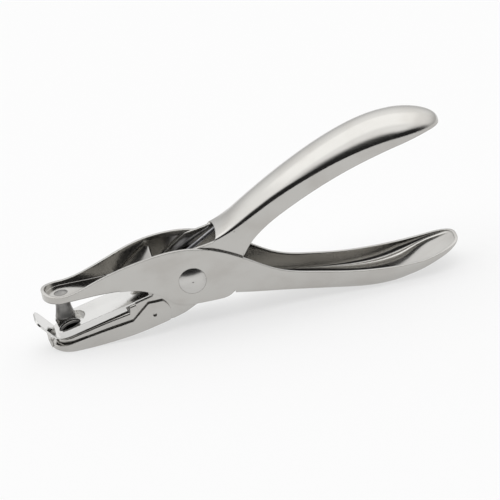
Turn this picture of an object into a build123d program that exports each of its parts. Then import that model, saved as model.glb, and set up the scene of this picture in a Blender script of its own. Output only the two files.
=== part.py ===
from build123d import *
from math import asin, atan2, cos, degrees, hypot, radians, sin, sqrt
import os

# Single-hole hand punch. Two folded levers cross at one rivet.
# All side outlines are drawn with the rivet's axis at (0, 0); +X runs to the handles, +Z up.
# place() moves the finished pieces so that the origin is under the middle of the punch.

# Driving dimensions, millimetres and degrees
sheet = 1.0                 # both levers
fold_radius = 1.0           # outside of the folds
spoon_fold = 4.0            # outside of the folds at the spoon
fold_relief = 0.15          # the wall is cut away this far above the end of a fold
floor_skim = 0.02           # rolled off under the handle, which makes it truly flat
handle_round = 72.0         # both handles' ends round off from here
outer_half = 8.7            # half width over the outer cheeks
cheek_gap = 0.2             # running gap between outer and inner cheeks
inner_half = outer_half - sheet - cheek_gap
pivot_height = 16.1         # rivet axis above the surface the punch stands on
front_reach = 51.65         # rivet axis to the guide lip
rear_reach = 87.1           # rivet axis to the handle tips
drawn_reach = 87.1          # the handle outlines are drawn for this reach and stretched to rear_reach
hole_diameter = 6.35        # the hole that the punch cuts
jaw_slope = 13.0            # the die plate falls towards the nose
stroke = 7.6                # closing angle of the levers
punch_reach = 42.1          # rivet axis to the middle of the cutting edge
punch_rest_angle = 8.9      # cutting edge below the horizontal, jaws open
cut_depth = 0.8             # cutting edge below the die face, jaws closed

# Rivet, sleeve and spring
rivet_radius = 2.5
rivet_head_radius = 4.45
rivet_head_height = 1.0
sleeve_radius = 3.1
turning_gap = 0.05
wire = 1.5
coil_turns = 4
coil_pitch = 1.6
coil_radius = 4.1           # middle of the wire
leg_reach = 20.0            # both legs end this far behind the rivet
leg_gap = 0.1               # between a leg and the sheet it presses on

# Paper rest and die
plate_sheet = 0.6
paper_slot = 0.7
rest_rise = 2.0             # the die plate steps up by this much to carry the paper rest
rest_top = 2.95             # top of the rest's rim above the die face
recess_radius = 6.0
rest_half = 6.9
die_radius = hole_diameter / 2 + 0.2
bush_radius = 4.6
bush_depth = 2.4

# Chip tray
tray_sheet = 0.8
tray_gap = 0.15
tray_half = inner_half + tray_gap + tray_sheet
ear_radius = 5.3
ear_pivot = (-13.8, -8.9)
pip_radius = 1.0

# Places worked out from the values above
edge_rest = (
    -punch_reach * cos(radians(punch_rest_angle)),
    -punch_reach * sin(radians(punch_rest_angle)),
)
closed_angle = radians(punch_rest_angle + stroke)
die_face = (
    -punch_reach * cos(closed_angle) - cut_depth * sin(radians(jaw_slope)),
    -punch_reach * sin(closed_angle) + cut_depth * cos(radians(jaw_slope)),
)
slope_cos = cos(radians(jaw_slope))
slope_sin = sin(radians(jaw_slope))

# Planes: the jaw's side view (along the die plate, above it) and the die plate itself
jaw_side = Plane(
    origin=(die_face[0], 0, die_face[1]),
    x_dir=(slope_cos, 0, slope_sin),
    z_dir=(0, -1, 0),
)
jaw_plan = Plane(
    origin=(die_face[0], 0, die_face[1]),
    x_dir=(slope_cos, 0, slope_sin),
    z_dir=(-slope_sin, 0, slope_cos),
)
side = Plane.XZ
tall = 80.0                 # reach of cutting tools past the piece


def stretched(x, z):
    """Handle point drawn for drawn_reach, stretched with the handles."""
    start = 20.0
    return start + (x - start) * (rear_reach - start) / (drawn_reach - start), z


def to_jaw(x, z):
    """Side view point as (along the die plate, above the die plate)."""
    dx = x - die_face[0]
    dz = z - die_face[1]
    return dx * slope_cos + dz * slope_sin, dz * slope_cos - dx * slope_sin


def slab(plane, face, half):
    """Closed side outline made as thick as the piece is wide."""
    return extrude(plane * face, amount=half, both=True)


def deep(plane, face, low, high):
    """Closed plan outline from one level to another along its plane's normal."""
    return extrude(plane.offset(low) * face, amount=high - low)


def mirrored_face(line):
    """Half outline on the near side, closed by its mirror image across the long axis."""
    return make_face(line + mirror(line, about=Plane.XZ))


turned_across = Plane(origin=(0, 0, 0), x_dir=(1, 0, 0), z_dir=(0, 1, 0))


def standing(low, high, radius):
    """Cylinder on the Z axis between two levels."""
    return Pos(0, 0, (low + high) / 2) * Cylinder(radius, high - low)


def domed(radius, height):
    """Low domed head that stands on the XY plane."""
    ball = (radius**2 + height**2) / (2 * height)
    return (Pos(0, 0, height - ball) * Sphere(ball)) & standing(0, height, radius)


def across(x, z, radius, length, middle=0.0):
    """Cylinder across the punch at a place of the side view."""
    return Pos(x, middle, z) * Rot(90, 0, 0) * Cylinder(radius, length)


def height_at(curve, x):
    """Height of a side view curve that runs from front to rear."""
    low = 0.0
    high = 1.0
    for _ in range(30):
        middle = (low + high) / 2
        if (curve @ middle).X < x:
            low = middle
        else:
            high = middle
    return (curve @ low).Y


def round_off(x):
    """1 along the handle, falling to 0 at its tip as a quarter ellipse does."""
    start = stretched(handle_round, 0)[0]
    return 1.0 if x < start else sqrt(1 - ((x - start) / (rear_reach - start)) ** 2)


# Lever A: upper jaw, outer cheeks and lower handle

nose_centre = edge_rest[0] + 0.3
nose_length = 6.4           # nose ahead of its centre
nose_half = 7.0
waist = (-31.0, 6.6)        # narrowest place of the upper jaw and its half width
cheek_front = -11.0
cheek_rear = 17.0
neck = (33.0, 7.9)          # narrowest place of the lower handle and its half width
spoon_half = 10.1
spoon_start = handle_round
floor_level = 0.9           # underside of the upper jaw
floor_rear = -23.3          # the jaw's floor ends here and turns up as the tongue
handle_floor = (12.9, -7.58)
handle_fall = -0.2          # slope of the handle's straight underside
straight_end = 48.0
tongue_rise = 32.5
tongue_length = 14.9
tongue_half = 6.3


rim_line = Spline(
    (-50, 4.6), (-41, 3.2), (-30.6, 5.7), (-16.5, 9.9), (-6, 11.2), (5, 9.8), (19, 2.7),
    stretched(28, -3.1), stretched(45, -7.6), stretched(66, -10.1), stretched(78, -9.2),
    (rear_reach, -7.9),
)
grip_line = Spline(
    (cheek_rear, outer_half), stretched(neck[0], neck[1]), stretched(52, 9), stretched(spoon_start, spoon_half),
    tangents=[(1, 0), (1, 0)],
)
straight_stations = [12.9, 17, 23, 30, 37, straight_end]
spoon_stations = [straight_end, 53, 58, 63, 68, 72, 76, 80, 83, 85.3, 86.6, 87.08]
spoon_line = Spline(
    (straight_end, handle_floor[1] + handle_fall * (straight_end - handle_floor[0])),
    stretched(60, -pivot_height), stretched(69, -15.2), stretched(78, -11.9), (rear_reach, -8.6),
    tangents=[(1, handle_fall), (1, 0.2)],
)


def lever_a_plan(inset):
    """Nose, waist and cheeks; inset by the sheet for the inside."""
    nose = EllipticalCenterArc(
        (nose_centre, 0), nose_length - inset, nose_half - inset, start_angle=180, arc_size=90
    )
    cheek = inset - outer_half
    flank = Spline(
        (nose_centre, inset - nose_half), (waist[0], inset - waist[1]), (cheek_front, cheek),
        tangents=[(1, 0), (1, 0)],
    )
    pivot_zone = Polyline((cheek_front, cheek), (handle_floor[0], cheek), (handle_floor[0], 0))
    return mirrored_face(nose + flank + pivot_zone)


def lever_a_side():
    """Outline of the near wall ahead of the handle: rim above, lobe and throat below."""
    front = handle_floor[0]
    relief = (front, handle_floor[1] + fold_radius + fold_relief)
    ahead = Polyline((-50, floor_level), (-50, tall), (front, tall), relief)
    lobe = Spline(relief, (11.8, -7.3), (7.5, -8.3), (1, -8.2), (-5, -7.5), (-9.6, -3.8), (-12.2, -2.0))
    throat = Spline(
        (-12.2, -2.0), (-15.5, -0.3), (-20, 0.7), (floor_rear - 2, floor_level),
        tangents=[(-1, 0.6), (-1, 0)],
    )
    return make_face(ahead + lobe + throat + Line((floor_rear - 2, floor_level), (-50, floor_level)))


def lever_a_hollow_side():
    """What the folded sheet leaves open above the jaw's floor and between the cheeks."""
    floor_top = floor_level + sheet
    return make_face(
        Polyline(
            (-50, tall), (-50, floor_top), (floor_rear, floor_top), (floor_rear, -tall),
            (handle_floor[0] + sheet, -tall), (handle_floor[0] + sheet, tall), (-50, tall),
        )
    )


def under_rim():
    """Everything below the rim of lever A in side view."""
    below = Polyline((rear_reach, -7.9), (rear_reach, -tall), (-50, -tall), (-50, 4.6))
    return make_face(rim_line + below)


def grip_width(x):
    """Half width of lever A from the rivet to the tip."""
    if x < cheek_rear:
        return outer_half
    return height_at(grip_line, min(x, stretched(spoon_start, 0)[0])) * round_off(x)


def trough_section(x, inset=0.0):
    """Cross section of the lower handle: a trough whose fold grows rounder towards the spoon."""
    half = max(grip_width(x) - inset, 0.3)
    if x <= straight_end:
        low = handle_floor[1] + handle_fall * (x - handle_floor[0]) + inset * sqrt(1 + handle_fall**2)
    else:
        low = height_at(spoon_line, x) + inset * sqrt(1 + handle_fall**2)
    share = min(max((x - 30) / (spoon_start - 30), 0), 1)
    fold = fold_radius + share * (spoon_fold - fold_radius)
    fold = min(fold, 0.8 * (height_at(rim_line, x) - low + inset))
    if inset == 0:
        low -= floor_skim
    plane = Plane(origin=(x, 0, 0), x_dir=(0, 1, 0), z_dir=(1, 0, 0))
    outline = make_face(Polyline((-half, 15), (-half, low), (half, low), (half, 15), (-half, 15)))
    corners = outline.vertices().group_by(Axis.Y)[0]
    return plane * fillet(corners, min(max(fold - inset, 0.3), 0.7 * half))


def above_floor():
    """Side view of the space over the handle's flat underside."""
    ends = (handle_floor[0] - tall, handle_floor[0] + 3 * tall)
    line = [(x, handle_floor[1] + handle_fall * (x - handle_floor[0])) for x in ends]
    return make_face(Polyline(line[0], line[1], (ends[1], tall), (ends[0], tall), line[0]))


def trough(inset=0.0):
    """Lower handle's outside, rolled flat underneath, or its inside."""
    straight = loft([trough_section(x, inset) for x in straight_stations])
    whole = straight + loft([trough_section(stretched(x, 0)[0], inset) for x in spoon_stations])
    return whole if inset else whole & slab(side, above_floor(), tall)


def tongue():
    """Rear end of the jaw's floor, bent up between the cheeks, with rounded corners."""
    rise = radians(tongue_rise)
    plane = Plane(
        origin=(floor_rear, 0, floor_level + sheet / 2),
        x_dir=(cos(rise), 0, sin(rise)),
        z_dir=(-sin(rise), 0, cos(rise)),
    )
    outline = Pos(tongue_length / 2 - sheet / 2, 0) * Rectangle(tongue_length + sheet, 2 * tongue_half)
    outline = fillet(outline.vertices().group_by(Axis.X)[-1], 2.6)
    return deep(plane, outline, -sheet / 2, sheet / 2)


def upper_jaw_lever():
    """Folded sheet, open above, with the punch's hole and the rivet's holes."""
    front = deep(Plane.XY, lever_a_plan(0), -tall, tall) & slab(side, lever_a_side(), tall)
    front = fillet(fold_edges(front), fold_radius)
    inside = deep(Plane.XY, lever_a_plan(sheet), -tall, tall)
    inside &= slab(side, lever_a_hollow_side(), tall)
    lever = (front - inside) + (trough() - trough(sheet))
    lever &= slab(side, under_rim(), tall)
    lever += tongue() & deep(Plane.XY, lever_a_plan(sheet / 2), -tall, tall)
    lever -= across(0, 0, rivet_radius, 2 * tall)
    lever -= Pos(edge_rest[0], 0, 0) * Cylinder(punch_shank, 4 * sheet)
    return lever


def fold_edges(block):
    """Edges under the jaw where its walls turn into its floor."""
    level = [edge for edge in block.edges() if abs((edge @ 0.5).Z - floor_level) < 0.01]
    return [edge for edge in level if abs((edge @ 1.0).X - (edge @ 0.0).X) > sheet]


# Punch, riveted in the floor of the upper jaw

punch_shank = 1.7
punch_neck = 2.35
punch_head_height = 0.6
punch_land = 0.7
shear_radius = 12.0         # the cutting face is hollow, so the edge shears from two sides


def punch_pin():
    """Turned punch: straight cutting land, flare, neck, shank and peened head."""
    edge = hole_diameter / 2
    under = floor_level - edge_rest[1]
    flare = ThreePointArc((edge, punch_land), (punch_neck + 0.2, under * 0.45), (punch_neck, under))
    bore = punch_shank / 2
    outline = Polyline((bore, under), (bore, 0), (edge, 0), (edge, punch_land)) + flare
    outline += Line((punch_neck, under), (bore, under))
    pin = revolve(Plane.XZ * make_face(outline), Axis.Z)
    pin += standing(0, under + sheet, punch_shank)
    pin += Pos(0, 0, under + sheet) * domed(punch_shank + 0.55, punch_head_height)
    rim = edge + 0.3
    notch_depth = shear_radius - sqrt(shear_radius**2 - rim**2)
    pin -= across(0, notch_depth - shear_radius, shear_radius, 4 * edge)
    return Pos(edge_rest[0], 0, edge_rest[1]) * pin


# Lever B: lower jaw, inner cheeks and upper handle

b_nose = 6.1
b_waist = (10, 6.5)         # along the jaw from the die, half width
b_full = 22                 # the jaw reaches the cheeks' width here
step_start = 19.4           # the die plate steps up between these two
step_end = 20.4
web_end = 28.2              # the raised web ends here, the cheeks go on
wall_foot = (-17.5, -11.7)
notch_front = 1.15
notch_rear = 11.0
handle_half = 10.0
shoulder = 1.7              # the handle's crown starts this far below the bend line
stations = [notch_front, 6, 11, 16, 22, 30, 38, 46, 54, 62, 69, 75, 79.5, 83, 85.3, 86.5, 87.0]
bend_line = Spline(
    (notch_front, 10.2), (8, 11.3), (15, 14.3), stretched(28.4, 21.3), stretched(42, 27.4), stretched(57, 32.3),
    stretched(68, 34.2), stretched(78, 34.5), (rear_reach, 32.7),
)
crown_line = Spline(
    (notch_front, 11.0), (8, 12.6), (15, 16.3), stretched(28.4, 24.3), stretched(42, 31.4), stretched(56, 37.0),
    stretched(68, 39.5), stretched(78, 39.2), (rear_reach, 38.0),
)
foot_line = Spline(
    (17.6, 4.2), (20, 7.3), stretched(24, 11.2), stretched(32.6, 16.4), stretched(42, 21.1), stretched(55, 26.4),
    stretched(67, 30.0), stretched(76, 32.0), stretched(82, 32.3), (rear_reach, 31.8),
)
width_line = Spline(
    (notch_front, inner_half), (15, inner_half), stretched(30, inner_half + 0.6), stretched(42, 8.9), stretched(55, 9.7),
    stretched(handle_round, handle_half),
    tangents=[(1, 0), (1, 0)],
)


def crown_section(x, inset=0.0, extra=0.0):
    """Cross section of the upper handle: straight walls under an elliptical crown."""
    width = height_at(width_line, min(x, stretched(handle_round, 0)[0]))
    half = max(width * round_off(x) - inset, 0.3)
    bend = height_at(bend_line, x) - shoulder * min(1, 0.3 + (x - notch_front) / 20)
    crown = bend + (height_at(crown_line, x) - bend) * sqrt(round_off(x)) - inset
    foot = min(height_at(foot_line, x) if x > 17.6 else 3.0, bend - 0.3) - extra
    dome = EllipticalCenterArc((0, bend), half, crown - bend, start_angle=0, arc_size=180)
    walls = Polyline((-half, bend), (-half, foot), (half, foot), (half, bend))
    plane = Plane(origin=(x, 0, 0), x_dir=(0, 1, 0), z_dir=(1, 0, 0))
    return plane * make_face(dome + walls)


def handle_shell():
    """Upper handle, a domed shell open below with a rounded end."""
    places = [x if x < 20 else stretched(x, 0)[0] for x in stations]
    outside = loft([crown_section(x) for x in places])
    inside = loft([crown_section(x, sheet, 4.0) for x in places[:-2]])
    notch = Ellipse(notch_rear - notch_front, inner_half - sheet)
    return outside - inside - Pos(notch_front, 0, 0) * extrude(notch, tall)


def lever_b_plan(inset):
    """Lower jaw seen square to the die plate: round nose widening to the cheeks."""
    full = inset - inner_half
    nose = CenterArc((0, 0), b_nose - inset, 180, 90)
    flank = Spline(
        (0, inset - b_nose), (b_waist[0], inset - b_waist[1]), (b_full, full),
        tangents=[(1, 0), (1, 0)],
    )
    end = Polyline((b_full, full), (tall, full), (tall, 0))
    return mirrored_face(nose + flank + end)


def jaw_wall_side():
    """Lower jaw's wall below the die plate, with the step that carries the paper rest."""
    return make_face(
        Polyline(
            (-8, 0), (step_start, 0), (step_end, rest_rise), (web_end, rest_rise),
            to_jaw(-10, -4), to_jaw(-9, -11.8), to_jaw(*wall_foot), (12, -5.3), (-3, -2.8), (-8, -1.2),
            (-8, 0),
        )
    )


def jaw_hollow_side():
    """Space under the folded die plate."""
    shift = sheet * 0.4
    return make_face(
        Polyline(
            (-10, -sheet), (step_start + shift, -sheet), (step_end + shift, rest_rise - sheet),
            (web_end + 20, rest_rise - sheet), (web_end + 20, -tall), (-10, -tall), (-10, -sheet),
        )
    )


def cheek_side():
    """Inner cheek between the throat, the rivet and the root of the upper handle."""
    heel = Polyline(
        (17.6, 4.2), (13.3, -4.4), (12.6, -6.2), (12.6, -7.2), (8, -7.9), (1.2, -8.2),
        (-3.9, -10.7), (-7.7, -11.8), (-12, -11.9), wall_foot,
    )
    front = Polyline(wall_foot, (wall_foot[0], -4.2), (-13.3, -2.75))
    brow = Spline((-13.3, -2.75), (-6.65, 4.7), (notch_front, 11.0))
    top = Polyline((notch_front, 11.0), (8, 10.6), (22, 16.6), (23, 10.0))
    throat = Spline((23, 10.0), (20, 7.3), (17.6, 4.2))
    return make_face(heel + front + brow + top + throat)


def lower_jaw_lever():
    """Folded sheet, open below, with holes for the die, the rivets and the tray's pips."""
    plan = deep(jaw_plan, lever_b_plan(0), -tall, tall)
    hollow = deep(jaw_plan, lever_b_plan(sheet), -tall, tall)
    jaw = (plan & slab(jaw_side, jaw_wall_side(), tall)) - (hollow & slab(jaw_side, jaw_hollow_side(), tall))
    cheeks = (plan & slab(side, cheek_side(), inner_half)) - slab(side, cheek_side(), inner_half - sheet)
    lever = jaw + cheeks + handle_shell()
    lever -= across(0, 0, rivet_radius + turning_gap, 2 * tall)
    lever -= across(*ear_pivot, pip_radius + turning_gap, 2 * tall)
    lever -= jaw_plan * Cylinder(bush_radius, 2 * bush_depth)
    lever -= jaw_plan * Pos(rest_rivet, 0, 0) * Cylinder(rest_rivet_radius, 4 * rest_rise)
    return lever


# Die: hardened ring pressed in the die plate, with relief below its land

die_land = 1.0


def die_bush():
    """Ring flush with the die face."""
    outline = Polyline(
        (die_radius, 0), (bush_radius, 0), (bush_radius, -bush_depth), (die_radius + 0.4, -bush_depth),
        (die_radius + 0.4, -die_land - 0.4), (die_radius, -die_land), (die_radius, 0),
    )
    return jaw_plan * revolve(Plane.XZ * make_face(outline), Axis.Z)


# Paper rest: formed plate above the die, with the recess, the lip and the down-turned flanges

rest_hole = hole_diameter / 2 + 0.5
rest_flat_end = 10.0        # the rim's top is level up to here, then falls to the step
rest_end = 27.4
strip_front = -3.9          # the recess is open in front of this place
pad_front = -5.3
pad_top = paper_slot + plate_sheet
lip_angle = 64.5
lip_length = 8.8
lip_half = 5.0
rest_rivet = 24.0
rest_rivet_radius = 1.2


def rest_side(drop):
    """Side outline of the rest's cap; drop is its depth below the rim."""
    return make_face(
        Polyline(
            (-8, paper_slot - drop), (-8, rest_top - drop), (rest_flat_end, rest_top - drop),
            (step_end, rest_rise + plate_sheet - drop), (rest_end, rest_rise + plate_sheet - drop),
            (rest_end, rest_rise - drop), (step_start - 0.3, rest_rise - drop),
            (step_start - 0.3, paper_slot - drop), (-8, paper_slot - drop),
        )
    )


def rest_plan(inset):
    """Rest seen square to the die plate: round front and parallel flanges."""
    half = rest_half - inset
    return Circle(half) + Pos(rest_end / 2, 0) * Rectangle(rest_end, 2 * half)


def stripper_plate():
    """Paper rest: cap with flanges, sunk pad with the punch's hole, and the raised guide lip."""
    cap = deep(jaw_plan, rest_plan(0), -tall, tall) & slab(jaw_side, rest_side(0), tall)
    under = deep(jaw_plan, rest_plan(plate_sheet), -tall, tall)
    under &= slab(jaw_side, rest_side(plate_sheet), tall)
    plate = cap - under
    well = jaw_plan.offset(paper_slot) * extrude(Circle(recess_radius + plate_sheet / 2), rest_top - paper_slot)
    plate += well & cap
    plate -= jaw_plan.offset(pad_top) * extrude(Circle(recess_radius), tall)
    plate -= jaw_plan.offset(pad_top) * Pos(strip_front - tall / 2, 0, tall / 2) * Box(tall, tall, tall)
    plate -= jaw_plan * Pos(pad_front - tall / 2, 0, 0) * Box(tall, tall, tall)
    rise = radians(180 - lip_angle)
    bend = (pad_front, paper_slot + plate_sheet / 2)
    lip_plane = Plane(
        origin=jaw_side.from_local_coords((bend[0], bend[1], 0)),
        x_dir=jaw_side.from_local_coords((cos(rise), sin(rise), 0)) - jaw_side.origin,
        z_dir=jaw_side.from_local_coords((sin(rise), -cos(rise), 0)) - jaw_side.origin,
    )
    outline = Pos(lip_length / 2, 0) * Rectangle(lip_length, 2 * lip_half)
    outline = fillet(outline.vertices().group_by(Axis.X)[-1], 2.6)
    lip = deep(lip_plane, outline, -plate_sheet / 2, plate_sheet / 2)
    root_half = sqrt(rest_half**2 - pad_front**2)
    knuckle = jaw_side * Pos(bend[0], bend[1], 0) * Cylinder(plate_sheet / 2, 2 * root_half)
    plate += lip + knuckle
    plate -= jaw_plan * Cylinder(rest_hole, 4 * pad_top)
    plate -= jaw_plan * Pos(rest_rivet, 0, 0) * Cylinder(rest_rivet_radius, 4 * rest_rise)
    return plate


def stripper_rivet():
    """Small rivet through the rest and the raised web."""
    top = rest_rise + plate_sheet
    foot = rest_rise - sheet
    rivet = standing(foot, top, rest_rivet_radius) + standing(foot - 0.5, foot, 1.9)
    rivet += Pos(0, 0, top) * domed(2.1, 0.5)
    return jaw_plan * Pos(rest_rivet, 0, 0) * rivet


# Chip tray: cover under the lower jaw, hinged on two pips pressed in its ears

tray_nose = 7.1
tray_nose_centre = -0.9
tray_tab_half = 2.6
ear_top = -4.75
ear_foot = (-9.36, -11.79)
tray_corner = (-21.0, -9.7)
tray_floor_end = -16.0


def tray_plan(inset):
    """Tray seen square to the die plate."""
    full = inset - tray_half
    nose = CenterArc((tray_nose_centre, 0), tray_nose - inset, 180, 90)
    flank = Spline(
        (tray_nose_centre, inset - tray_nose),
        (b_waist[0], inset - b_waist[1] - tray_gap - tray_sheet - 0.1),
        (b_full, full),
        tangents=[(1, 0), (1, 0)],
    )
    end = Polyline((b_full, full), (tall, full), (tall, 0))
    return mirrored_face(nose + flank + end)


def tray_belly(lift):
    """Underside of the tray from the ears to the nose, or the floor's top above it."""
    return Spline(
        (ear_foot[0], ear_foot[1] + lift), (-16, -13.25 + lift), (-25, -14.9 + lift),
        (-39.5, -pivot_height + lift), (-44, -15.9 + lift), (-50, -14.6 + lift),
    )


def tray_side():
    """Side outline of the tray: straight edge, ears, belly and front tab."""
    reach = sqrt(ear_radius**2 - (ear_top - ear_pivot[1]) ** 2)
    front = jaw_side.from_local_coords((-9.5, -1.6, 0))
    edge = Polyline(
        (-50, front.Z), tray_corner, (-15.2, ear_top), (ear_pivot[0] + reach, ear_top)
    )
    ear = ThreePointArc(
        (ear_pivot[0] + reach, ear_top), (ear_pivot[0] + ear_radius, ear_pivot[1]), ear_foot
    )
    belly = tray_belly(0)
    return make_face(edge + ear + belly + Line((-50, -14.6), (-50, front.Z)))


def tray_hollow():
    """Space above the tray's floor, open behind the floor's end."""
    top = Polyline(
        (-50, -14.6 + tray_sheet), (-50, tall), (tall, tall), (tall, -tall), (tray_floor_end, -tall),
        (tray_floor_end, -13.25 + tray_sheet),
    )
    floor = Spline(
        (tray_floor_end, -13.25 + tray_sheet), (-25, -14.9 + tray_sheet),
        (-39.5, -pivot_height + tray_sheet), (-44, -15.9 + tray_sheet), (-50, -14.6 + tray_sheet),
    )
    return make_face(top + floor)


def chip_tray():
    """Folded cover with two ears, pressed pips and a small finger tab at the nose."""
    outside = deep(jaw_plan, tray_plan(0), -tall, tall) & slab(side, tray_side(), tall)
    inside = deep(jaw_plan, tray_plan(tray_sheet), -tall, tall) & slab(side, tray_hollow(), tall)
    tray = outside - inside
    tab_front = tray_nose_centre - tray_nose
    tab = jaw_plan.offset(-2.2) * Pos(tab_front + tray_sheet / 2, 0, 1.5) * Box(
        tray_sheet, 2 * tray_tab_half, 3.0
    )
    tray += tab
    for hand in (-1, 1):
        wall = tray_half - tray_sheet
        pip = across(*ear_pivot, pip_radius, 0.8, hand * (wall - 0.35))
        dent = across(*ear_pivot, pip_radius - 0.35, 1.0, hand * (wall + 0.45))
        tray += pip
        tray -= dent
    return tray


# Two-piece rivet, the sleeve on it and the return spring round the sleeve

spigot = 1.6
joint_place = 3.0           # the two halves of the rivet meet here


def pivot_rivet():
    """Headed half on the near side, with the spigot that enters the other half."""
    rivet = standing(-outer_half, joint_place, rivet_radius)
    rivet += standing(joint_place, outer_half - 1.2, spigot)
    rivet += Pos(0, 0, -outer_half) * Rot(180, 0, 0) * domed(rivet_head_radius, rivet_head_height)
    return turned_across * rivet


def rivet_set_head():
    """Socket half on the far side."""
    rivet = standing(joint_place, outer_half, rivet_radius)
    rivet += Pos(0, 0, outer_half) * domed(rivet_head_radius, rivet_head_height)
    return turned_across * (rivet - standing(joint_place, outer_half - 1.1, spigot))


def pivot_sleeve():
    """Tube that holds the inner cheeks apart."""
    length = 2 * (inner_half - sheet) - 2 * turning_gap
    return across(0, 0, sleeve_radius, length) - across(0, 0, rivet_radius + turning_gap, length)


def return_spring():
    """Torsion spring: coil round the sleeve, one leg under each handle's sheet."""
    under_web = height_at(bend_line, leg_reach) - sheet - wire / 2 - leg_gap
    over_floor = handle_floor[1] + sheet + wire / 2 + leg_gap
    upper_lean = asin(coil_radius / hypot(leg_reach, under_web))
    upper_leg = degrees(atan2(under_web, leg_reach) - upper_lean)
    lower_lean = asin(coil_radius / hypot(handle_floor[0], over_floor))
    lower_leg = degrees(atan2(over_floor, handle_floor[0]) + lower_lean)
    start = upper_leg + 90
    turned = (lower_leg - 90 - start) % 360 + 360 * coil_turns
    length = turned / 360 * coil_pitch
    coil = Pos(0, 0, -length / 2) * Rot(0, 0, start) * Helix(coil_pitch, length, coil_radius)
    upper_way = (coil % 0) * -1
    lower_way = coil % 1
    upper_end = coil @ 0 + upper_way * ((leg_reach - (coil @ 0).X) / upper_way.X)
    lower_end = coil @ 1 + lower_way * ((leg_reach - (coil @ 1).X) / lower_way.X)
    path = Line(upper_end, coil @ 0) + coil + Line(coil @ 1, lower_end)
    return side * sweep(Plane(origin=upper_end, z_dir=upper_way * -1) * Circle(wire / 2), path=path)


def place(name, shape):
    """Move a piece from the rivet's frame to the frame of the standing punch and write it."""
    moved = Pos((front_reach - rear_reach) / 2, 0, pivot_height) * shape
    export_step(moved, f"parts/{name}.step")


os.makedirs("parts", exist_ok=True)
place("upper_jaw_lever", upper_jaw_lever())
place("punch_pin", punch_pin())
place("lower_jaw_lever", lower_jaw_lever())
place("die_bush", die_bush())
place("stripper_plate", stripper_plate())
place("stripper_rivet", stripper_rivet())
place("chip_tray", chip_tray())
place("pivot_rivet", pivot_rivet())
place("rivet_set_head", rivet_set_head())
place("pivot_sleeve", pivot_sleeve())
place("return_spring", return_spring())
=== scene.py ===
import math
import bmesh
import bpy
import numpy as np
from mathutils import Matrix, Vector


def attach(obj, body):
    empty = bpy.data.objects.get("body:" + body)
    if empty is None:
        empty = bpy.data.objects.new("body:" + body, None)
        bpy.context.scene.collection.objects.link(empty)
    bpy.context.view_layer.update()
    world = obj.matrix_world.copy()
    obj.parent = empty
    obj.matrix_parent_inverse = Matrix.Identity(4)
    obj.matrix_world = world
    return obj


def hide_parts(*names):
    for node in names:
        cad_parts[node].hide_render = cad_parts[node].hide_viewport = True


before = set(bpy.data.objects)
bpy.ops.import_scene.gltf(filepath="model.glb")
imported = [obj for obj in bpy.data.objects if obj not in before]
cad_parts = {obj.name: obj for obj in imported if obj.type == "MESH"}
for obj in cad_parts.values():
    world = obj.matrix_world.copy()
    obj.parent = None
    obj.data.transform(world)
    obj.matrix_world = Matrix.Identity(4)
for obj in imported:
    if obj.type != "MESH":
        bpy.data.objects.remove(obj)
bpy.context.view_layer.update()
print("frame loaded")

# every shape is worked out in millimetres from the rivet's axis, +x to the handles, +z up
rivetPlace = np.array([-17.725, 0.0, 16.1])
mirrored = np.array([1, -1, 1])
quarter = math.pi / 2
# the jaw's own frame: along the die plate, across, above it; it starts at the die
jawValues = dict(slope=13.0, reach=42.1, closed=16.5, cut=0.8)
jawCos = math.cos(math.radians(jawValues["slope"]))
jawSin = math.sin(math.radians(jawValues["slope"]))
jawX = -jawValues["reach"] * math.cos(math.radians(jawValues["closed"])) - jawValues["cut"] * jawSin
jawZ = -jawValues["reach"] * math.sin(math.radians(jawValues["closed"])) + jawValues["cut"] * jawCos


# curves and grids
def curveThrough(knots, x):
    # natural cubic spline through (x, value) knots, level before the first knot and after the last
    knots = np.asarray(knots, dtype=float)
    px, py = knots[:, 0], knots[:, 1]
    h = np.diff(px)
    n = len(px)
    a = np.eye(n)
    b = np.zeros(n)
    rows = np.arange(1, n - 1)
    a[rows, rows - 1] = h[:-1]
    a[rows, rows] = 2 * (h[:-1] + h[1:])
    a[rows, rows + 1] = h[1:]
    b[1:-1] = 6 * (np.diff(py[1:]) / h[1:] - np.diff(py[:-1]) / h[:-1])
    m = np.linalg.solve(a, b)
    x = np.clip(x, px[0], px[-1])
    k = np.clip(np.searchsorted(px, x) - 1, 0, n - 2)
    left, right = (px[k + 1] - x) / h[k], (x - px[k]) / h[k]
    bow = ((left ** 3 - left) * m[k] + (right ** 3 - right) * m[k + 1]) * h[k] ** 2 / 6
    return left * py[k] + right * py[k + 1] + bow


def lineThrough(knots, x):
    # straight lines between (x, value) knots
    knots = np.asarray(knots, dtype=float)
    return np.interp(x, knots[:, 0], knots[:, 1])


def smooth(x, start, end):
    # 0 before start, 1 after end, with soft ends
    t = np.clip((x - start) / (end - start), 0, 1)
    return t * t * (3 - 2 * t)


def fromJaw(along, across, above):
    # jaw frame to rivet frame: turned by the jaw's slope about the die
    return np.stack([jawX + along * jawCos - above * jawSin,
                     across + 0 * along + 0 * above,
                     jawZ + along * jawSin + above * jawCos], -1)


def bothSides(rows):
    # rows of (along, half width, height) for the near side, then their mirror image for the far side
    near = np.stack([np.stack([x, -w, z], -1) for x, w, z in rows], 1)
    return np.concatenate([near, near[:, -2::-1] * mirrored], 1)


def gridFaces(shape, keep=None):
    # quads between neighbours in the first two axes of a grid; keep masks the quads that stay
    rows, columns = shape[:2]
    i, j = np.meshgrid(np.arange(rows - 1), np.arange(columns - 1), indexing="ij")
    if keep is not None:
        i, j = i[keep], j[keep]
    first = (i * columns + j).ravel()
    return np.stack([first, first + columns, first + columns + 1, first + 1], -1)


# weld and sliver are in metres
meshValues = dict(weld=1.2e-5, sliver=1e-7, edgeSteps=2, edgeAngle=55)


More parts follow.
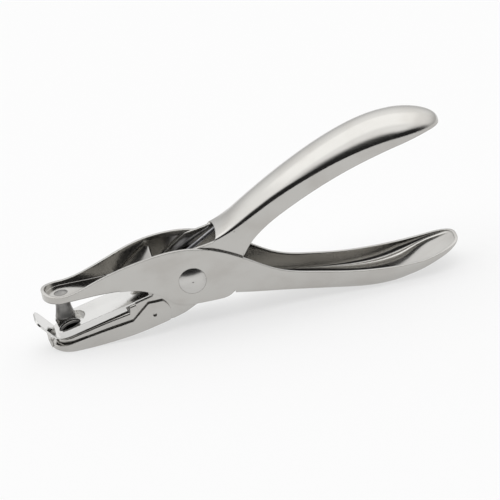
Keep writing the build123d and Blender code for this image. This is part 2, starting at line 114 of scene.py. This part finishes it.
def makePiece(name, parts, body, replaced, finish, sheet, edge):
    # joins grids (points, quads) in one mesh, welds them and gives the sheet its thickness inwards
    points = np.concatenate([p.reshape(-1, 3) for p, q in parts])
    starts = np.cumsum([0] + [p.reshape(-1, 3).shape[0] for p, q in parts])[:-1]
    quads = np.concatenate([q + start for (p, q), start in zip(parts, starts)])
    mesh = bpy.data.meshes.new(name)
    mesh.from_pydata(((points + rivetPlace) / 1000).tolist(), [], quads.tolist())
    work = bmesh.new()
    work.from_mesh(mesh)
    bmesh.ops.remove_doubles(work, verts=work.verts, dist=meshValues["weld"])
    bmesh.ops.dissolve_degenerate(work, edges=work.edges, dist=meshValues["sliver"])
    bmesh.ops.recalc_face_normals(work, faces=work.faces)
    # the open shell is turned once if most of its area faces the middle plane
    score = sum(f.normal.y * f.calc_center_median().y * f.calc_area() for f in work.faces)
    if score < 0:
        bmesh.ops.reverse_faces(work, faces=work.faces)
    work.to_mesh(mesh)
    work.free()
    mesh.polygons.foreach_set("use_smooth", np.ones(len(mesh.polygons), dtype=bool))
    piece = bpy.data.objects.new(name, mesh)
    bpy.context.scene.collection.objects.link(piece)
    wall = piece.modifiers.new("sheet", "SOLIDIFY")
    wall.thickness = sheet / 1000
    wall.offset = -1
    wall.use_even_offset = True
    rounding = piece.modifiers.new("edge", "BEVEL")
    rounding.width = edge / 1000
    rounding.segments = meshValues["edgeSteps"]
    rounding.limit_method = "ANGLE"
    rounding.angle_limit = math.radians(meshValues["edgeAngle"])
    rounding.use_clamp_overlap = True
    mesh.materials.append(finish)
    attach(piece, body)
    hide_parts(*replaced)
    print(name, len(mesh.polygons), "quads")
    return piece


# shader maths as expressions
class Value:
    def __init__(self, maker, link):
        self.maker = maker
        self.link = link

    def __add__(self, other):
        return self.maker.math("ADD", self, other)

    def __rsub__(self, other):
        return self.maker.math("SUBTRACT", other, self)

    def __mul__(self, other):
        return self.maker.math("MULTIPLY", self, other)

    __radd__ = __add__
    __rmul__ = __mul__


class Nodes:
    # makes and feeds the nodes of one tree
    def __init__(self, tree):
        self.tree = tree
        tree.nodes.clear()

    def node(self, kind, settings=None, **values):
        made = self.tree.nodes.new("ShaderNode" + kind)
        for key, value in (settings or {}).items():
            setattr(made, key, value)
        for key, value in values.items():
            self.feed(made.inputs[int(key[1:])] if key[0] == "_" else made.inputs[key], value)
        return made

    def feed(self, place, value):
        if isinstance(value, Value):
            self.tree.links.new(value.link, place)
        elif hasattr(value, "is_output"):
            self.tree.links.new(value, place)
        else:
            place.default_value = value

    def math(self, operation, a, b):
        return Value(self, self.node("Math", {"operation": operation}, _0=a, _1=b).outputs[0])

    def shape(self, value, low, high, outLow=0.0, outHigh=1.0):
        made = self.node("MapRange", {"interpolation_type": "SMOOTHSTEP"},
                         _0=value, _1=low, _2=high, _3=outLow, _4=outHigh)
        return Value(self, made.outputs[0])


class Finish(Nodes):
    # one material's nodes, with a Principled shader ready
    def __init__(self, name, colour, roughness, metallic=1.0):
        self.material = bpy.data.materials.new(name)
        self.material.use_nodes = True
        super().__init__(self.material.node_tree)
        self.output = self.tree.nodes.new("ShaderNodeOutputMaterial")
        self.shader = self.tree.nodes.new("ShaderNodeBsdfPrincipled")
        self.shader.inputs["Base Color"].default_value = (*colour, 1)
        self.shader.inputs["Roughness"].default_value = roughness
        self.shader.inputs["Metallic"].default_value = metallic
        self.tree.links.new(self.shader.outputs[0], self.output.inputs[0])

    def noise(self, scale, detail=2.0, stretch=(1, 1, 1)):
        place = self.node("TexCoord").outputs["Object"]
        spread = self.node("Mapping", Vector=place, Scale=stretch).outputs[0]
        return Value(self, self.node("TexNoise", Vector=spread, Scale=scale, Detail=detail).outputs[0])

    def tint(self, mask, first, second):
        made = self.node("Mix", {"data_type": "RGBA"}, _0=mask, _6=(*first, 1), _7=(*second, 1))
        return made.outputs[2]

    def bump(self, height, edge):
        # height in metres; the Bevel node softens edges by the radius edge
        broken = self.node("Bevel", {"samples": 6}, Radius=edge)
        made = self.node("Bump", Height=height, Distance=1.0, Strength=1.0)
        self.tree.links.new(broken.outputs[0], made.inputs["Normal"])
        self.tree.links.new(made.outputs[0], self.shader.inputs["Normal"])

    def give(self, **values):
        for key, value in values.items():
            self.feed(self.shader.inputs[key.replace("_", " ")], value)
        return self.material


# what all plated pieces share: sizes of the patterns, and how much each counts in the roughness
plateTexture = dict(smear=(70, 4.0, (1, 1.6, 1.6)), smearRange=(0.42, 0.72), smearShare=0.7,
                    grain=(2400, 2.0, (0.12, 1, 1)), grainShare=0.3, roll=(55, 1.0))
# what all steel pieces share
steelTexture = dict(spots=(420, 2.0), spotRange=(0.35, 0.75), spotShare=0.5,
                    rings=(2600, 1.0, (0.1, 0.1, 1)), ringShare=0.5, ringDepth=0.000004, edge=0.0001)
plateValues = dict(light=(0.51, 0.50, 0.478), worn=(0.475, 0.46, 0.435), roughness=0.15, rough=0.23,
                   wave=0.00002, hairline=0.000004, edge=0.00022)
restValues = dict(light=(0.70, 0.695, 0.68), worn=(0.64, 0.635, 0.62), roughness=0.10, rough=0.18,
                  wave=0.00002, hairline=0.000003, edge=0.00015)
rivetValues = dict(light=(0.58, 0.57, 0.55), worn=(0.50, 0.49, 0.47), roughness=0.20, rough=0.32,
                   wave=0.00002, hairline=0.000004, edge=0.00015)
punchValues = dict(light=(0.27, 0.265, 0.255), dark=(0.20, 0.195, 0.19), roughness=0.34, rough=0.46)
dieValues = dict(light=(0.09, 0.088, 0.085), dark=(0.05, 0.049, 0.047), roughness=0.3, rough=0.45)
springValues = dict(light=(0.30, 0.30, 0.31), dark=(0.18, 0.18, 0.19), roughness=0.28, rough=0.4)


def platedFinish(name, light, worn, roughness, rough, wave, hairline, edge):
    # polished plate: faint rolling waves, handling smears, fine polishing lines and softly broken edges
    t = plateTexture
    finish = Finish(name, light, roughness)
    smear = finish.shape(finish.noise(*t["smear"]), *t["smearRange"])
    grain = finish.noise(*t["grain"])
    roll = finish.noise(*t["roll"])
    finish.bump(roll * wave + grain * hairline, edge)
    wear = smear * t["smearShare"] + grain * t["grainShare"]
    return finish.give(Base_Color=finish.tint(smear, light, worn),
                       Roughness=finish.shape(wear, 0.0, 1.0, roughness, rough))


def steelFinish(name, light, dark, roughness, rough):
    # turned and hardened steel: dull grey with rings of tool marks and darker spots
    t = steelTexture
    finish = Finish(name, light, roughness)
    spots = finish.shape(finish.noise(*t["spots"]), *t["spotRange"])
    rings = finish.noise(*t["rings"])
    finish.bump(rings * t["ringDepth"], t["edge"])
    wear = spots * t["spotShare"] + rings * t["ringShare"]
    return finish.give(Base_Color=finish.tint(spots, light, dark),
                       Roughness=finish.shape(wear, 0.0, 1.0, roughness, rough))


plated = platedFinish("platedSheet", **plateValues)
polished = platedFinish("polishedRest", **restValues)
rivetPlate = platedFinish("rivetPlate", **rivetValues)
toolSteel = steelFinish("toolSteel", **punchValues)
dieSteel = steelFinish("dieSteel", **dieValues)
springSteel = steelFinish("springWire", **springValues)
nodeFinish = dict(upper_jaw_lever=plated, lower_jaw_lever=plated, chip_tray=plated, stripper_plate=polished,
                  punch_pin=toolSteel, die_bush=dieSteel, pivot_sleeve=toolSteel, return_spring=springSteel,
                  pivot_rivet=rivetPlate, rivet_set_head=rivetPlate, stripper_rivet=rivetPlate)
for nodeName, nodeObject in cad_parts.items():
    nodeObject.data.materials.clear()
    nodeObject.data.materials.append(nodeFinish[nodeName])
print("finishes ready")

# lever A: one stamped and folded sheet with the nose, the outer cheeks and the lower handle's spoon
leverAValues = dict(sheet=1.0, edge=0.2, floor=0.9, floorEnd=-23.3,
                    noseCentre=-41.29, noseLength=6.4, noseHalf=7.0,
                    waistPlace=-31, waistHalf=6.6, cheekPlace=-11, cheekHalf=8.7, cheekWall=1.0,
                    handleStart=12.9, handleFloor=-7.58, handleFall=0.2, neckPlace=(17, 33), neckHalf=7.9,
                    spoonStart=72.0, spoonLength=15.08, spoonHalf=10.08, spoonOval=(1.8, 1 / 3),
                    jawFold=0.75, handleFold=1.0, spoonFold=4.0, foldStart=30, foldShare=0.8)
# how many stations each stretch has, and how many rows the wall, the fold and half the floor have
leverASteps = dict(nose=17, jaw=24, cheek=60, grip=70, tip=37, wall=9, fold=8, floor=11)
# the tongue's corner stops just short of a full quarter turn
tongueValues = dict(rise=32.5, radius=2.0, length=14.9, half=6.3, corner=2.6, cornerEnd=0.985, flare=1.2,
                    bendSteps=6, slopeSteps=30)
rimKnots = [(-50, 4.6), (-41, 3.2), (-30.6, 5.7), (-16.5, 9.9), (-6, 11.2), (5, 9.8), (19, 2.7), (28, -3.1),
            (40, -6.8), (50, -8.8), (60, -9.95), (70, -10.3), (77, -9.8), (82, -8.9), (87.1, -7.9)]
lobeKnots = [(-23.3, 0.88), (-20, 0.7), (-15.5, -0.3), (-12.2, -2.0), (-9.6, -3.8), (-7.4, -6.0), (-5, -7.5),
             (-2, -8.05), (1, -8.2), (7.5, -8.3), (11.8, -7.3), (12.9, -6.45)]
spoonKnots = [(48, -14.6), (54, -15.6), (60, -16.08), (69, -15.2), (78, -12.3), (84, -10.3), (87.1, -8.8)]
# rows to the end of the wall, and to the end of the fold
wallEnd = leverASteps["wall"] - 1
foldEnd = wallEnd + leverASteps["fold"] - 1


def leverAGrid(v, steps):
    # stations run from the nose to the spoon's tip and rows from the near rim round the floor to the far rim;
    # nose and tip are a quarter turn of an angle, so the stations crowd where the sheet turns round them
    turn = np.linspace(0, quarter, steps["nose"])[:-1]
    tipTurn = np.linspace(0, quarter, steps["tip"])[1:]
    jaw = np.linspace(v["noseCentre"], v["floorEnd"], steps["jaw"])
    cheek = np.linspace(v["floorEnd"], v["handleStart"], steps["cheek"])
    grip = np.linspace(v["handleStart"], v["spoonStart"], steps["grip"])
    # zone 0 is the jaw, 1 the cheeks, which have no floor, and 2 the handle
    zone = np.concatenate([0 * turn, 0 * jaw, 0 * cheek + 1, 0 * grip + 2, 0 * tipTurn + 2])
    bareX = np.concatenate([0 * turn + v["noseCentre"], jaw, cheek, grip, 0 * tipTurn + v["spoonStart"]])
    noseReach = np.concatenate([np.cos(turn), 0 * jaw, 0 * cheek, 0 * grip, 0 * tipTurn])
    tipReach = np.concatenate([0 * turn, 0 * jaw, 0 * cheek, 0 * grip, np.sin(tipTurn)])
    neckStart, neckEnd = v["neckPlace"]
    half = v["noseHalf"] \
        + (v["waistHalf"] - v["noseHalf"]) * smooth(bareX, v["noseCentre"], v["waistPlace"]) \
        + (v["cheekHalf"] - v["waistHalf"]) * smooth(bareX, v["waistPlace"], v["cheekPlace"]) \
        + (v["neckHalf"] - v["cheekHalf"]) * smooth(bareX, neckStart, neckEnd) \
        + (v["spoonHalf"] - v["neckHalf"]) * smooth(bareX, neckEnd, v["spoonStart"])
    # an ellipse round the nose, a fuller oval round the tip
    power, root = v["spoonOval"]
    half = half * np.sqrt(1 - noseReach ** 2) * np.clip(1 - tipReach ** power, 0, 1) ** root

    def planX(inset):
        return bareX - (v["noseLength"] - inset) * noseReach + (v["spoonLength"] - inset) * tipReach

    def bottom(x):
        handle = v["handleFloor"] - v["handleFall"] * (x - v["handleStart"])
        spoon = np.where(x < spoonKnots[0][0], handle, curveThrough(spoonKnots, x))
        return np.where(zone == 2, spoon, v["floor"])

    rim = curveThrough(rimKnots, planX(0.0))
    spread = smooth(bareX, v["foldStart"], v["spoonStart"])
    fold = np.where(zone == 2, v["handleFold"] + (v["spoonFold"] - v["handleFold"]) * spread, v["jawFold"])
    fold = np.minimum(fold, v["foldShare"] * (rim - bottom(planX(0.0))))
    foldTop = bottom(planX(0.0)) + fold
    # the cheeks' walls go straight down to the lobe
    blend = smooth(bareX, v["floorEnd"], v["handleStart"])
    ahead, behind = v["floor"] + v["jawFold"], v["handleFloor"] + v["handleFold"]
    foldTop = np.where(zone == 1, ahead + (behind - ahead) * blend, foldTop)
    lobe = curveThrough(lobeKnots, bareX)
    foldTop = np.where(zone == 1, np.minimum(foldTop, rim - v["cheekWall"]), foldTop)
    rows = []
    for share in np.linspace(0, 1, steps["wall"]):
        rows.append((planX(0.0), half, rim + (foldTop - rim) * share))
    for angle in np.linspace(0, quarter, steps["fold"])[1:]:
        inset = fold * (1 - math.cos(angle))
        x = planX(inset)
        width = np.maximum(half - inset * np.minimum(1, half / v["waistHalf"]), 0)
        z = bottom(x) + fold * (1 - math.sin(angle))
        straight = foldTop + (lobe - foldTop) * (angle / quarter)
        rows.append((np.where(zone == 1, bareX, x), np.where(zone == 1, half, width),
                     np.where(zone == 1, straight, z)))
    lastX, lastHalf, lastZ = rows[-1]
    for share in np.linspace(0, 1, steps["floor"])[1:]:
        rows.append((lastX, lastHalf * (1 - share), lastZ))
    grid = bothSides(rows)
    inRow = np.arange(grid.shape[1] - 1)
    floorRows = (inRow >= foldEnd) & (inRow < len(inRow) - foldEnd)
    foldRows = (inRow >= wallEnd) & (inRow < len(inRow) - wallEnd)
    same = zone[:-1] == zone[1:]
    keep = same[:, None] & ~((zone[:-1] == 1)[:, None] & floorRows[None, :])
    keep &= same[:, None] | ~foldRows[None, :]
    return grid, keep


def tonguePart(v, t, grid, station):
    # the floor's rear end goes on round a bend and up a straight slope, with rounded corners
    root = grid[station, foldEnd:-foldEnd]
    rise, radius, length, corner = math.radians(t["rise"]), t["radius"], t["length"], t["corner"]
    along = np.concatenate([np.linspace(0, radius * rise, t["bendSteps"]),
                            np.linspace(radius * rise, length, t["slopeSteps"])[1:]])
    bent = np.minimum(along, radius * rise) / radius
    straight = np.maximum(along - radius * rise, 0)
    x = v["floorEnd"] + radius * np.sin(bent) + straight * math.cos(rise)
    z = v["floor"] + radius * (1 - np.cos(bent)) + straight * math.sin(rise)
    rootHalf = abs(root[0, 1])
    wide = rootHalf + (t["half"] - rootHalf) * smooth(along, 0, t["flare"])
    intoCorner = np.clip(along - (length - corner), 0, corner * t["cornerEnd"])
    wide -= corner - np.sqrt(corner ** 2 - intoCorner ** 2)
    spread = root[:, 1] / rootHalf
    return np.stack([x[:, None] + 0 * spread, wide[:, None] * spread, z[:, None] + 0 * spread], -1)


gridA, keepA = leverAGrid(leverAValues, leverASteps)
# the jaw's last station, where the floor ends
tongue = tonguePart(leverAValues, tongueValues, gridA, leverASteps["nose"] + leverASteps["jaw"] - 2)
partsA = [(gridA, gridFaces(gridA.shape, keepA)), (tongue, gridFaces(tongue.shape))]
leverA = makePiece("upperJawSheet", partsA, "upper_jaw", ["upper_jaw_lever"], plated,
                   leverAValues["sheet"], leverAValues["edge"])


# lever B: the second sheet with the lower jaw, the inner cheeks and the domed upper handle
leverBValues = dict(sheet=1.0, edge=0.2, cheekHalf=7.5, cheekFront=1.15, heel=17.6,
                    archStart=9.0, archLean=1.5, archFade=14,
                    shoulder=3.0, shoulderLimits=(0.62, 0.45), tipStart=72.0, tipLength=15.0,
                    crownPower=0.8, leastCrown=0.02, leastWall=0.1)
jawPlateValues = dict(nose=6.1, widening=((0.4, 0, 10), (1.0, 8, 22)), step=(19.4, 20.4), end=22.34, rise=2.0,
                      fold=0.8, bushRadius=4.62, bushSnap=0.24)
# how many stations each stretch has, and how many rows the walls, shoulder, crown, fold and half plate have
leverBSteps = dict(arch=22, body=110, tip=40, wall=8, shoulder=14, crown=22, cheek=60, cheekFront=16,
                   cheekRows=12, nose=17, plate=50, step=5, plateEnd=6, fold=8, plateRows=18)
bendKnots = [(1.15, 10.0), (8, 10.9), (15, 12.9), (28.4, 19.5), (42, 25.6), (57, 30.6), (68, 32.6),
             (78, 33.1), (87.1, 32.7)]
crownKnots = [(1.15, 11.0), (8, 12.6), (15, 16.3), (28.4, 24.3), (42, 31.4), (56, 37.0), (68, 39.5),
              (78, 39.3), (87.1, 38.6)]
wallKnots = [(17.6, 9.9), (20, 7.8), (24, 6.1), (32.6, 5.1), (42, 4.5), (55, 3.7), (67, 2.6), (76, 1.3),
             (80, 0.7), (83, 0.35), (87.1, 0.3)]
widthKnots = [(15, 7.5), (20, 7.6), (30, 8.1), (42, 8.9), (55, 9.7), (66, 10.0), (72, 10.0)]
jawFootKnots = [(-8, -1.2), (-3, -2.8), (12, -5.3), (22.3, -5.7)]
heelBottom = [(1.15, -8.2), (8, -7.9), (12.5, -7.2), (12.8, -6.2), (13.4, -4.4), (17.6, 4.2)]
# the cheek between the jaw and the heel, as (pace, x, z): top and bottom edge walked at the same pace
cheekTop = np.array([(0, -19.27, -4.21), (1, -13.52, -2.89), (2, -6.65, 4.7), (3, 1.15, 10.0)])
cheekBottom = np.array([(0, -17.5, -11.7), (0.5, -14.5, -11.9), (1, -11.6, -11.9), (1.5, -7.7, -11.8),
                        (2, -3.9, -10.7), (3, 1.2, -8.2)])


def roundCorner(half, height, radius, least=0.2, spare=0.002, halvings=40):
    # angle where the shoulder's small arc hands over to the crown's wide arc, by halving the interval
    low, high = np.full_like(half, least), np.full_like(half, quarter - spare)
    for k in range(halvings):
        middle = (low + high) / 2
        side = half - radius * (1 - np.cos(middle))
        reached = radius * np.sin(middle) + side / np.cos(middle) * (1 - np.sin(middle))
        low, high = np.where(reached > height, middle, low), np.where(reached > height, high, middle)
    return (low + high) / 2


def leverBHandle(v, steps):
    # stations run from the arch to the tip and rows from the near foot over the dome to the far foot
    tipTurn = np.linspace(0, quarter, steps["tip"])[1:]
    arch = np.linspace(v["archStart"], v["heel"], steps["arch"])
    body = np.linspace(v["heel"], v["tipStart"], steps["body"])
    bareX = np.concatenate([arch, body, 0 * tipTurn + v["tipStart"]])
    tip = np.concatenate([0 * arch, 0 * body, np.sin(tipTurn)])
    x = bareX + v["tipLength"] * tip
    oval = np.clip(1 - tip ** 2, 0, 1) ** 0.5
    half = np.maximum(curveThrough(widthKnots, bareX) * oval, 0.0)
    bend = curveThrough(bendKnots, x)
    height = np.maximum((curveThrough(crownKnots, x) - bend) * oval ** v["crownPower"], v["leastCrown"])
    ofHeight, ofHalf = v["shoulderLimits"]
    radius = np.minimum(v["shoulder"], np.minimum(ofHeight * height, ofHalf * half + 0.001))
    hand = roundCorner(np.maximum(half, 0.01), height, radius)
    side = half - radius * (1 - np.cos(hand))
    wide = np.maximum(side / np.cos(hand), 0.0)
    foot = bend - curveThrough(wallKnots, x) * np.maximum(oval, v["leastWall"])
    fade = 1 - smooth(x, v["archStart"], v["archStart"] + v["archFade"])
    rows = []
    for share in np.linspace(0, 1, steps["wall"])[:-1]:
        rows.append((x, half, foot + (bend - foot) * share))
    for share in np.linspace(0, 1, steps["shoulder"])[:-1]:
        angle = hand * share
        up = radius * np.sin(angle)
        rows.append((x + v["archLean"] * fade * up / height, half - radius * (1 - np.cos(angle)), bend + up))
    for share in np.linspace(0, 1, steps["crown"]):
        angle = hand + (quarter - hand) * share
        up = radius * np.sin(hand) + wide * (np.sin(angle) - np.sin(hand))
        rows.append((x + v["archLean"] * fade * up / height, wide * np.cos(angle), bend + up))
    grid = bothSides(rows)
    # over the arch the flat cheeks are the wall, so the handle's own wall starts at the heel
    inRow = np.arange(grid.shape[1] - 1)
    wallRows = steps["wall"] - 1
    wall = (inRow < wallRows) | (inRow >= len(inRow) - wallRows)
    overArch = np.arange(grid.shape[0] - 1) < steps["arch"]
    keep = ~(overArch[:, None] & wall[None, :])
    keep[steps["arch"] - 1, :] = False
    return grid, keep


def leverBCheeks(v, steps):
    # flat walls between a top edge and a bottom edge, each given as a line over the same pace
    pace = np.linspace(cheekTop[0, 0], cheekTop[-1, 0], steps["cheek"])
    frontTop = np.stack([curveThrough(cheekTop[:, [0, 1]], pace), lineThrough(cheekTop[:, [0, 2]], pace)], -1)
    frontLow = np.stack([lineThrough(cheekBottom[:, [0, 1]], pace),
                         lineThrough(cheekBottom[:, [0, 2]], pace)], -1)
    x = np.concatenate([np.linspace(v["cheekFront"], v["archStart"], steps["cheekFront"]),
                        np.linspace(v["archStart"], v["heel"], steps["arch"])[1:]])
    rearTop = np.stack([x, curveThrough(bendKnots, x)], -1)
    rearLow = np.stack([x, lineThrough(heelBottom, x)], -1)
    top, low = np.concatenate([frontTop[:-1], rearTop]), np.concatenate([frontLow[:-1], rearLow])
    share = np.linspace(0, 1, steps["cheekRows"])[None, :, None]
    edge = low[:, None, :] + (top - low)[:, None, :] * share
    wall = np.stack([edge[..., 0], 0 * edge[..., 0] - v["cheekHalf"], edge[..., 1]], -1)
    return wall, wall * mirrored


def leverBJaw(v, steps):
    # rows go from the near wall's foot up over the fold and across the die plate to the far foot
    turn = np.linspace(0, quarter, steps["nose"])[:-1]
    stepStart, stepEnd = v["step"]
    along = np.concatenate([np.linspace(0, stepStart, steps["plate"]),
                            np.linspace(stepStart, stepEnd, steps["step"])[1:],
                            np.linspace(stepEnd, v["end"], steps["plateEnd"])[1:]])
    noseReach = np.concatenate([np.cos(turn), 0 * along])
    bare = np.concatenate([0 * turn, along])
    half = v["nose"] + 0 * bare
    for more, start, end in v["widening"]:
        half = half + more * smooth(bare, start, end)
    half = half * np.sqrt(1 - noseReach ** 2)
    top = v["rise"] * smooth(bare, stepStart, stepEnd)
    foot = lineThrough(jawFootKnots, bare - v["nose"] * noseReach)
    rows = []
    for share in np.linspace(0, 1, steps["wall"])[:-1]:
        rows.append((bare - v["nose"] * noseReach, half, foot + (top - v["fold"] - foot) * share))
    for angle in np.linspace(0, quarter, steps["fold"]):
        inset = v["fold"] * (1 - math.cos(angle))
        rows.append((bare - (v["nose"] - inset) * noseReach, half * (1 - inset / v["nose"]),
                     top - v["fold"] * (1 - math.sin(angle))))
    lastA, lastHalf, lastTop = rows[-1]
    for share in np.linspace(0, 1, steps["plateRows"])[1:]:
        rows.append((lastA, lastHalf * (1 - share), lastTop))
    grid = bothSides(rows)
    # the hole for the die ring: points next to its edge are drawn onto the circle, and the quads in it go
    onPlate = grid[..., 2] > -0.01
    away = np.hypot(grid[..., 0], grid[..., 1])
    edge = (np.abs(away - v["bushRadius"]) < v["bushSnap"]) & onPlate
    pull = np.where(edge, v["bushRadius"] / np.maximum(away, 0.1), 1.0)
    grid[..., :2] *= pull[..., None]
    inside = onPlate & (np.hypot(grid[..., 0], grid[..., 1]) < v["bushRadius"] + 0.01)
    keep = ~(inside[:-1, :-1] & inside[1:, :-1] & inside[:-1, 1:] & inside[1:, 1:])
    return fromJaw(grid[..., 0], grid[..., 1], grid[..., 2]), keep


handleB, keepHandle = leverBHandle(leverBValues, leverBSteps)
nearCheek, farCheek = leverBCheeks(leverBValues, leverBSteps)
jawB, keepJaw = leverBJaw(jawPlateValues, leverBSteps)
partsB = [(handleB, gridFaces(handleB.shape, keepHandle)), (nearCheek, gridFaces(nearCheek.shape)),
          (farCheek, gridFaces(farCheek.shape)), (jawB, gridFaces(jawB.shape, keepJaw))]
leverB = makePiece("lowerJawSheet", partsB, "lower_jaw", ["lower_jaw_lever"], plated,
                   leverBValues["sheet"], leverBValues["edge"])


# floor, light and surroundings; the band is the dark stretch that the plate reflects
floorValues = dict(grey=0.86, roughness=0.8, reach=1.6, white=0.62)
surroundValues = dict(low=0.62, high=1.4, levels=(-0.1, 0.8), dark=0.025, bandLow=(-0.28, 0.1),
                      bandHigh=(0.86, 0.12), bandBack=(0.1, 0.6))
lampValues = dict(place=(0.0, 0.15, 0.7), aim=(0, 0, 0), size=(0.9, 0.6), power=0.5)


def makeFloor(values):
    mesh = bpy.data.meshes.new("paleFloor")
    reach = values["reach"]
    mesh.from_pydata([(-reach, -reach, 0), (reach, -reach, 0), (reach, reach, 0), (-reach, reach, 0)], [],
                     [(0, 1, 2, 3)])
    floor = bpy.data.objects.new("paleFloor", mesh)
    bpy.context.scene.collection.objects.link(floor)
    finish = Finish("paleFloor", (values["grey"],) * 3, values["roughness"], 0.0)
    path = finish.node("LightPath").outputs
    seen = Value(finish, path["Is Camera Ray"]) + Value(finish, path["Is Glossy Ray"])
    seen = seen + Value(finish, path["Is Transmission Ray"])
    # the white comes from an emission, mixed so that the shadow still shows
    white = finish.node("Emission", Color=(1, 1, 1, 1), Strength=1.0)
    both = finish.node("MixShader", _0=seen * values["white"], _1=finish.shader.outputs[0],
                       _2=white.outputs[0])
    finish.tree.links.new(both.outputs[0], finish.output.inputs[0])
    mesh.materials.append(finish.material)


def makeSurround(values):
    # white for the camera; for all other rays a level that rises with height, less the dark band
    world = bpy.data.worlds.new("studio")
    bpy.context.scene.world = world
    world.use_nodes = True
    maker = Nodes(world.node_tree)
    output = maker.node("OutputWorld")
    ray = maker.node("TexCoord").outputs["Generated"]
    parts = maker.node("SeparateXYZ", Vector=ray).outputs
    up = Value(maker, parts[2])
    back = Value(maker, parts[1]) * -1.0
    lowEdge, lowSoft = values["bandLow"]
    highEdge, highSoft = values["bandHigh"]
    above = maker.shape(up, lowEdge, lowEdge + lowSoft)
    below = 1 - maker.shape(up, highEdge - highSoft, highEdge)
    band = above * below * maker.shape(back, *values["bandBack"])
    level = maker.shape(up, *values["levels"], values["low"], values["high"])
    seen = Value(maker, maker.node("LightPath").outputs["Is Camera Ray"])
    glow = level * (1 - band) + band * values["dark"]
    shown = glow * (1 - seen) + seen
    made = maker.node("Background", Color=(1, 1, 1, 1), Strength=shown)
    maker.tree.links.new(made.outputs[0], output.inputs[0])


def makeLamp(name, place, aim, size, power):
    data = bpy.data.lights.new(name, "AREA")
    data.shape = "RECTANGLE"
    data.size, data.size_y = size
    data.energy = power
    lamp = bpy.data.objects.new(name, data)
    bpy.context.scene.collection.objects.link(lamp)
    look = (Vector(aim) - Vector(place)).to_track_quat("-Z", "Y")
    lamp.matrix_world = Matrix.Translation(place) @ look.to_matrix().to_4x4()


makeFloor(floorValues)
makeSurround(surroundValues)
makeLamp("topBox", **lampValues)
print("studio ready")

# camera: the photograph looks from slightly left of square on, from above, with the horizon tipped
cameraValues = dict(azimuth=-4.5, elevation=24.6, roll=10.6, lens=250.0, sensor=36, clipStart=0.01,
                    pixelsPerMm=3.15, rivetPixel=(193.0, 281.8), rivetFace=-9.5, imageSize=500)


def placeCamera(values):
    azimuth = math.radians(values["azimuth"])
    elevation = math.radians(values["elevation"])
    roll = math.radians(values["roll"])
    right = Vector((math.cos(azimuth), math.sin(azimuth), 0))
    look = Vector((-math.sin(azimuth) * math.cos(elevation), math.cos(azimuth) * math.cos(elevation),
                   -math.sin(elevation)))
    up = right.cross(look)
    rolledRight = right * math.cos(roll) - up * math.sin(roll)
    rolledUp = right * math.sin(roll) + up * math.cos(roll)
    # the rivet's near head falls on its pixel in the photograph
    half = values["imageSize"] / 2
    stepRight = (half - values["rivetPixel"][0]) / values["pixelsPerMm"] / 1000
    stepUp = (values["rivetPixel"][1] - half) / values["pixelsPerMm"] / 1000
    distance = values["lens"] / values["sensor"] * values["imageSize"] / values["pixelsPerMm"] / 1000
    rivetFace = Vector((rivetPlace[0] / 1000, values["rivetFace"] / 1000, rivetPlace[2] / 1000))
    middle = rivetFace + rolledRight * stepRight + rolledUp * stepUp
    data = bpy.data.cameras.new("photoCamera")
    data.lens = values["lens"]
    data.clip_start = values["clipStart"]
    camera = bpy.data.objects.new("photoCamera", data)
    bpy.context.scene.collection.objects.link(camera)
    turn = Matrix((rolledRight, rolledUp, -look)).transposed()
    camera.matrix_world = Matrix.Translation(middle - look * distance) @ turn.to_4x4()
    bpy.context.scene.camera = camera


placeCamera(cameraValues)
bpy.context.scene.view_settings.view_transform = "Standard"
print("camera ready")
